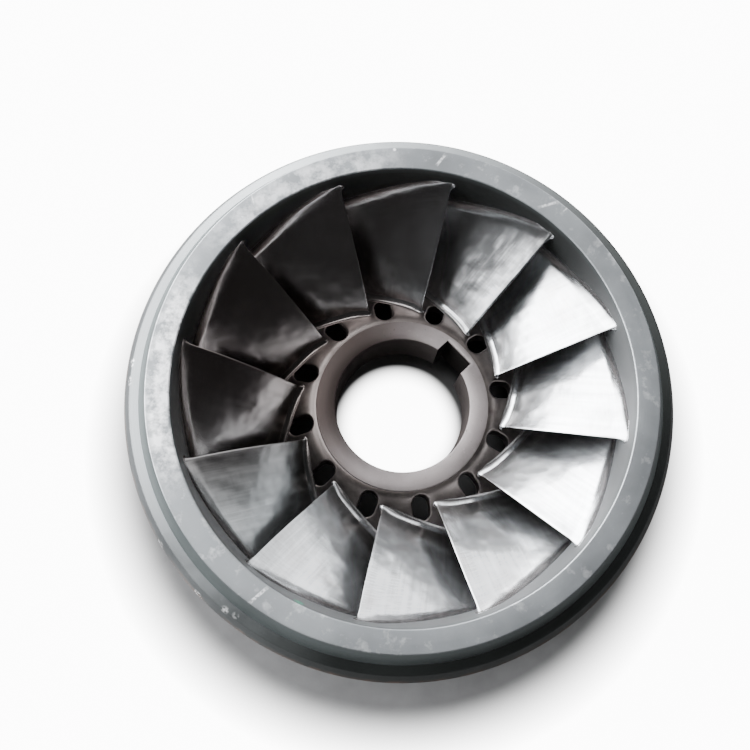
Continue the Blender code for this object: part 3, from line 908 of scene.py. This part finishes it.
class BladeSurface:
    """One blade as a surface of s, from trailing to inlet edge, and v, from crown to band."""

    def __init__(self, sizes):
        self.sizes = sizes
        self.crown_span = (curve_parameter(CROWN_CURVE, EDGE_CROWN_R, 0),
                           curve_parameter(CROWN_CURVE, INLET_EDGE_R, 0))
        edge_height = BAND_HIGH[2] - EDGE_BAND_DEPTH
        self.band_span = (curve_parameter(BAND_CURVE, edge_height, 1),
                          curve_parameter(BAND_CURVE, INLET_EDGE_R, 0, 0.6))

    def meridional(self, s, v):
        """Radius and height: straight between crown and band, bowed up at the trailing edge."""
        crown_start, crown_end = self.crown_span
        band_start, band_end = self.band_span
        at_crown = cubic(CROWN_CURVE, crown_start + (crown_end - crown_start) * s)
        at_band = cubic(BAND_CURVE, band_start + (band_end - band_start) * s)
        point = at_crown + (at_band - at_crown) * v[..., None]
        point[..., 1] += EDGE_RISE * 4.0 * v * (1.0 - v) * (1.0 - s) ** 2
        return point

    def wrap(self, s, v):
        """Angle: total wrap times 1 - (1 - s) to a power that falls from crown to band."""
        total = WRAP_CROWN + (WRAP_BAND - WRAP_CROWN) * v
        power = WRAP_POWER_CROWN + (WRAP_POWER_BAND - WRAP_POWER_CROWN) * v
        edge = EDGE_TURN * (1.0 - v) - EDGE_BOW * v * (1.0 - v)
        return edge + total * (1.0 - np.maximum(1.0 - s, 0.0) ** power)

    def place(self, s, angle, v):
        point = self.meridional(s, v)
        radius, height = point[..., 0], point[..., 1]
        return np.stack((radius * np.cos(angle), radius * np.sin(angle), height), axis=-1)

    def stretch(self, s, v):
        """Metres travelled along the flow for one unit of s, and the radius there."""
        travelled = self.meridional(s + STEP, v) - self.meridional(s - STEP, v)
        return np.linalg.norm(travelled, axis=-1) / (2.0 * STEP), self.meridional(s, v)[..., 0]

    def half_thickness(self, s):
        """Blunt rounded trailing edge, smooth growth over the first quarter, elliptic nose."""
        sizes = self.sizes
        growth = smooth_step(s, 0.0, GROWTH_SHARE)
        thickness = sizes.edge_thickness + (sizes.blade_thickness - sizes.edge_thickness) * growth
        ahead = np.clip((s - 1.0 + NOSE_SHARE) / NOSE_SHARE, 0.0, 1.0)
        behind = np.clip(1.0 - s / TAIL_SHARE, 0.0, 1.0)
        return 0.5 * thickness * np.sqrt(np.maximum(1.0 - ahead ** 2, 0.0)) * np.sqrt(1.0 - behind ** 2)

    def rows(self, s_line):
        """Heights of the rows between crown and band, and how far each row stands out.

        Near a wall the rows follow a quarter circle: at height r (1 - cos f) over the wall the
        side stands out by r (1 - sin f), which blends the blade into the wall like a ground
        weld. One more row, sunk into the wall, closes the joint.
        """
        ones = np.ones_like(s_line)
        span = self.meridional(s_line, ones) - self.meridional(s_line, 0.0 * ones)
        length = np.linalg.norm(span, axis=-1)
        bend = np.linspace(0.0, 0.5 * math.pi, 10)
        heights, feet = [], []
        for wall, radius in ((0.0, self.sizes.crown_fillet), (1.0, self.sizes.band_fillet)):
            v = wall * ones
            along = self.meridional(s_line + STEP, v) - self.meridional(s_line - STEP, v)
            along /= np.linalg.norm(along, axis=-1, keepdims=True)
            lean = np.abs(span[:, 0] * along[:, 1] - span[:, 1] * along[:, 0]) / length
            rise = np.concatenate(([-WELD_SINK], radius * (1.0 - np.cos(bend))))[:, None]
            heights.append(rise / (length * np.maximum(lean, 0.5)))
            feet.append(np.concatenate(([radius], radius * (1.0 - np.sin(bend)))))
        share = np.linspace(0.0, 1.0, 30)[1:-1, None]
        low, high = heights[0], 1.0 - heights[1][::-1]
        v = np.vstack((low, low[-1] + (high[0] - low[-1]) * share, high))
        foot = np.concatenate((feet[0], np.zeros(len(share)), feet[1][::-1]))[:, None]
        return v, foot

    def grid(self, turn):
        """Closed sections, row by row from crown to band, and their marks.

        Each section is worked out on its own stream surface, in metres along the flow and round
        the axis. The mean line's points move sideways by the half thickness, along the line's
        normal. Then every point of the closed section moves outwards by the row's foot.
        """
        tail = TAIL_SHARE * (1.0 - np.cos(np.linspace(0.0, 0.5 * math.pi, 7)))
        body = TAIL_SHARE + (1.0 - NOSE_SHARE - TAIL_SHARE) * np.linspace(0.0, 1.0, 48)[1:] ** 1.15
        nose = 1.0 - NOSE_SHARE + NOSE_SHARE * np.sin(np.linspace(0.0, 0.5 * math.pi, 10))[1:]
        s_line = np.concatenate((tail, body, nose))
        v, foot = self.rows(s_line)
        s = np.broadcast_to(s_line, v.shape)
        speed, radius = self.stretch(s, v)
        bend = (self.wrap(s + STEP, v) - self.wrap(s - STEP, v)) / (2.0 * STEP)
        length = np.hypot(speed, radius * bend)
        half = self.half_thickness(s)
        shift_s = half * radius * bend / length / speed
        shift_angle = half * speed / length / radius
        angle = self.wrap(s, v)
        hidden = (s + shift_s, angle - shift_angle)
        shown = (s - shift_s, angle + shift_angle)
        s, angle = (np.concatenate((one, two[:, -2:0:-1]), axis=1) for one, two in zip(hidden, shown))
        v = np.concatenate((v, v[:, -2:0:-1]), axis=1)
        back = np.where(np.arange(s.shape[1]) < len(s_line), smooth_step(s, *BACK_SHARES), 0.0)
        speed, radius = self.stretch(s, v)
        run = (np.roll(s, -1, axis=1) - np.roll(s, 1, axis=1)) * speed
        swing = (np.roll(angle, -1, axis=1) - np.roll(angle, 1, axis=1)) * radius
        size = np.hypot(run, swing)
        along = s * BLADE_RUN
        foot = foot * (1.0 - sum(most * smooth_step(s, start, end) for start, end, most in FOOT_FADES))
        s = s + foot * swing / size / speed
        angle = angle - foot * run / size / radius
        crown_half = np.arange(len(foot)) < len(foot) // 2
        largest = np.where(crown_half, self.sizes.crown_fillet, self.sizes.band_fillet)
        marks = {
            "back": back,
            "weld": foot / largest[:, None],
            "sheet": np.stack((along, v * BLADE_SPAN, np.full_like(s, turn)), axis=-1),
        }
        return self.place(s, angle + turn, v), marks

    def make(self, name, turn):
        """Mesh of one blade; strips across the section and two end triangles close it."""
        points, marks = self.grid(turn)
        rows, columns = points.shape[:2]
        half = columns // 2
        i = np.arange(1, half - 1)
        strips = np.stack((i, i + 1, columns - i - 1, columns - i), axis=-1)
        tips = np.array(((0, 1, columns - 1), (half - 1, half, half + 1)))
        faces = grid_quads(rows, columns, wrap_rows=False).tolist()
        for start in (0, (rows - 1) * columns):
            faces += (strips + start).tolist() + (tips + start).tolist()
        return put_mesh(name, points, faces, 50.0, marks)


class RUNNER_OT_blades(bpy.types.Operator):
    """Blades: twelve twisted blades with thin trailing edges and blended welds at both ends."""

    bl_idname = "runner.blades"
    bl_label = "Blades"

    def execute(self, context):
        surface = BladeSurface(context.scene.runner_sizes)
        material = blade_finish("polished_blade_steel", context.scene.runner_colours.blade)
        for index in range(BLADE_COUNT):
            node = f"blade_{index + 1:02d}"
            blade = surface.make(f"polished_{node}", FIRST_EDGE_ANGLE + index * PITCH)
            finish_piece(blade, material, "blade_steel", node)
        return {'FINISHED'}


# Broad windows in the surroundings: bearing, half widths in degrees inside which each is full and
# outside which it is gone, heights (sines) between which it rises and falls, and its strength
WINDOWS = (
    (152.0, 26.0, 56.0, (-0.02, 0.06), (0.80, 0.50), 21.0),
    (80.0, 34.0, 74.0, (-0.02, 0.06), (0.80, 0.50), 4.0),
)
# Round lights overhead, also in the surroundings: direction, cosines between which each rises, and
# its strength
LAMPS = (
    ((-0.060, 0.240, 0.969), (0.86, 0.985), 1.00),
    ((-0.290, 0.120, 0.949), (0.975, 0.998), 11.0),
)
WORLD_BASE = 0.06
WORLD_COLOUR = (0.97, 0.98, 1.0, 1.0)
BACKDROP = 12.0                # white that the camera alone sees beyond the floor

# Camera: where the photo was taken from, found from the traced circles and edges
CAMERA_LEAN = math.radians(10.4)       # shaft axis away from the line of sight
CAMERA_LEAN_WAY = math.radians(67.9)   # direction the outlet end leans to, in the picture
CAMERA_DISTANCE = 3.0                  # in outlet face radii
CAMERA_SIDE = (-0.020, 0.098)          # offset of the face's centre, in the same unit
CAMERA_FOCAL_PX = 774.0
CAMERA_CENTRE_PX = (413.3, 412.6)
PICTURE_PX = 750.0
SENSOR_MM = 36.0


def make_camera():
    """Rotation about the lean axis by Rodrigues' formula; the camera looks down its own -Z."""
    unit = FACE_OUTER_R
    way, lean = CAMERA_LEAN_WAY, CAMERA_LEAN
    x, y = -math.sin(way), math.cos(way)
    cross = np.array(((0.0, 0.0, y), (0.0, 0.0, -x), (-y, x, 0.0)))
    turn = np.eye(3) + math.sin(lean) * cross + (1.0 - math.cos(lean)) * cross @ cross
    eye = np.array((-CAMERA_SIDE[0], -CAMERA_SIDE[1], CAMERA_DISTANCE)) * unit
    place = turn.T @ eye + np.array((0.0, 0.0, BAND_HIGH[2]))
    matrix = Matrix.Identity(4)
    for row in range(3):
        for column in range(3):
            matrix[row][column] = turn[column, row]
        matrix[row][3] = place[row]
    data = bpy.data.cameras.new("photo_camera")
    data.sensor_width = SENSOR_MM
    data.lens = CAMERA_FOCAL_PX / PICTURE_PX * SENSOR_MM
    data.shift_x = -(CAMERA_CENTRE_PX[0] - PICTURE_PX / 2.0) / PICTURE_PX
    data.shift_y = (CAMERA_CENTRE_PX[1] - PICTURE_PX / 2.0) / PICTURE_PX
    data.clip_start = 0.01
    camera = bpy.data.objects.new("photo_camera", data)
    camera.matrix_world = matrix
    bpy.context.scene.collection.objects.link(camera)
    bpy.context.scene.camera = camera


def make_world():
    """Studio surroundings for the steel to mirror, and a plain white backdrop for the camera.

    A window's light is the product of three smooth steps: of the cosine between a direction's
    bearing and the window's, and of the direction's height as it rises and as it falls.
    """
    world = bpy.data.worlds.new("studio")
    world.use_nodes = True
    bpy.context.scene.world = world
    nodes = Nodes(world.node_tree)
    background = world.node_tree.nodes["Background"]
    way = nodes.add('ShaderNodeTexCoord').outputs["Generated"]
    height = nodes.split(way)[2]
    light = WORLD_BASE
    for bearing, full, gone, rise, fall, strength in WINDOWS:
        near = nodes.side(way, bearing, math.cos(math.radians(gone)), math.cos(math.radians(full)))
        upper = nodes.span(height, *fall, smooth=True)
        lower = nodes.span(height, *rise, smooth=True)
        light = nodes.math('ADD', light, nodes.product(near, upper, lower, strength))
    for direction, (low, high), strength in LAMPS:
        near = nodes.vector('DOT_PRODUCT', way, direction).outputs["Value"]
        light = nodes.math('ADD', light, nodes.span(near, low, high, 0.0, strength, smooth=True))
    nodes.put(background, "Strength", light)
    background.inputs["Color"].default_value = WORLD_COLOUR
    backdrop = nodes.add('ShaderNodeBackground', {"Strength": BACKDROP})
    seen = nodes.add('ShaderNodeLightPath').outputs["Is Camera Ray"]
    both = nodes.add('ShaderNodeMixShader', {0: seen, 1: background.outputs[0], 2: backdrop.outputs[0]})
    nodes.put(world.node_tree.nodes["World Output"], "Surface", both.outputs[0])


class RUNNER_OT_stage(bpy.types.Operator):
    """Stage: plain floor, studio surroundings and the camera at the photograph's viewing angle."""

    bl_idname = "runner.stage"
    bl_label = "Stage"

    def execute(self, context):
        low, high = -FLOOR_HALF, FLOOR_HALF
        corners = np.array(((low, low), (high, low), (high, high), (low, high)))
        corners = np.column_stack((corners, np.full(4, -FLOOR_DROP)))
        floor = put_mesh("floor", corners, [(0, 1, 2, 3)])
        floor.data.materials.append(floor_paint("pale_floor"))
        make_world()
        make_camera()
        return {'FINISHED'}


class RUNNER_PT_panel(bpy.types.Panel):
    """Lists the pieces of the runner."""

    bl_label = "Francis runner"
    bl_space_type = 'VIEW_3D'
    bl_region_type = 'UI'
    bl_category = "Runner"

    def draw(self, context):
        layout = self.layout
        for group in (context.scene.runner_sizes, context.scene.runner_colours):
            for name in group.__annotations__:
                layout.prop(group, name)
        for operator in OPERATORS:
            layout.operator(operator.bl_idname)


OPERATORS = (
    RUNNER_OT_crown,
    RUNNER_OT_hub_boss,
    RUNNER_OT_band,
    RUNNER_OT_wear_rings,
    RUNNER_OT_blades,
    RUNNER_OT_stage,
)
CLASSES = (RunnerSizes, RunnerColours, *OPERATORS, RUNNER_PT_panel)


def register():
    for cls in CLASSES:
        bpy.utils.register_class(cls)
    bpy.types.Scene.runner_sizes = bpy.props.PointerProperty(type=RunnerSizes)
    bpy.types.Scene.runner_colours = bpy.props.PointerProperty(type=RunnerColours)


def unregister():
    del bpy.types.Scene.runner_colours
    del bpy.types.Scene.runner_sizes
    for cls in reversed(CLASSES):
        bpy.utils.unregister_class(cls)


def main():
    register()
    for operator in OPERATORS:
        group, name = operator.bl_idname.split(".")
        getattr(getattr(bpy.ops, group), name)()


if __name__ == "__main__":
    main()
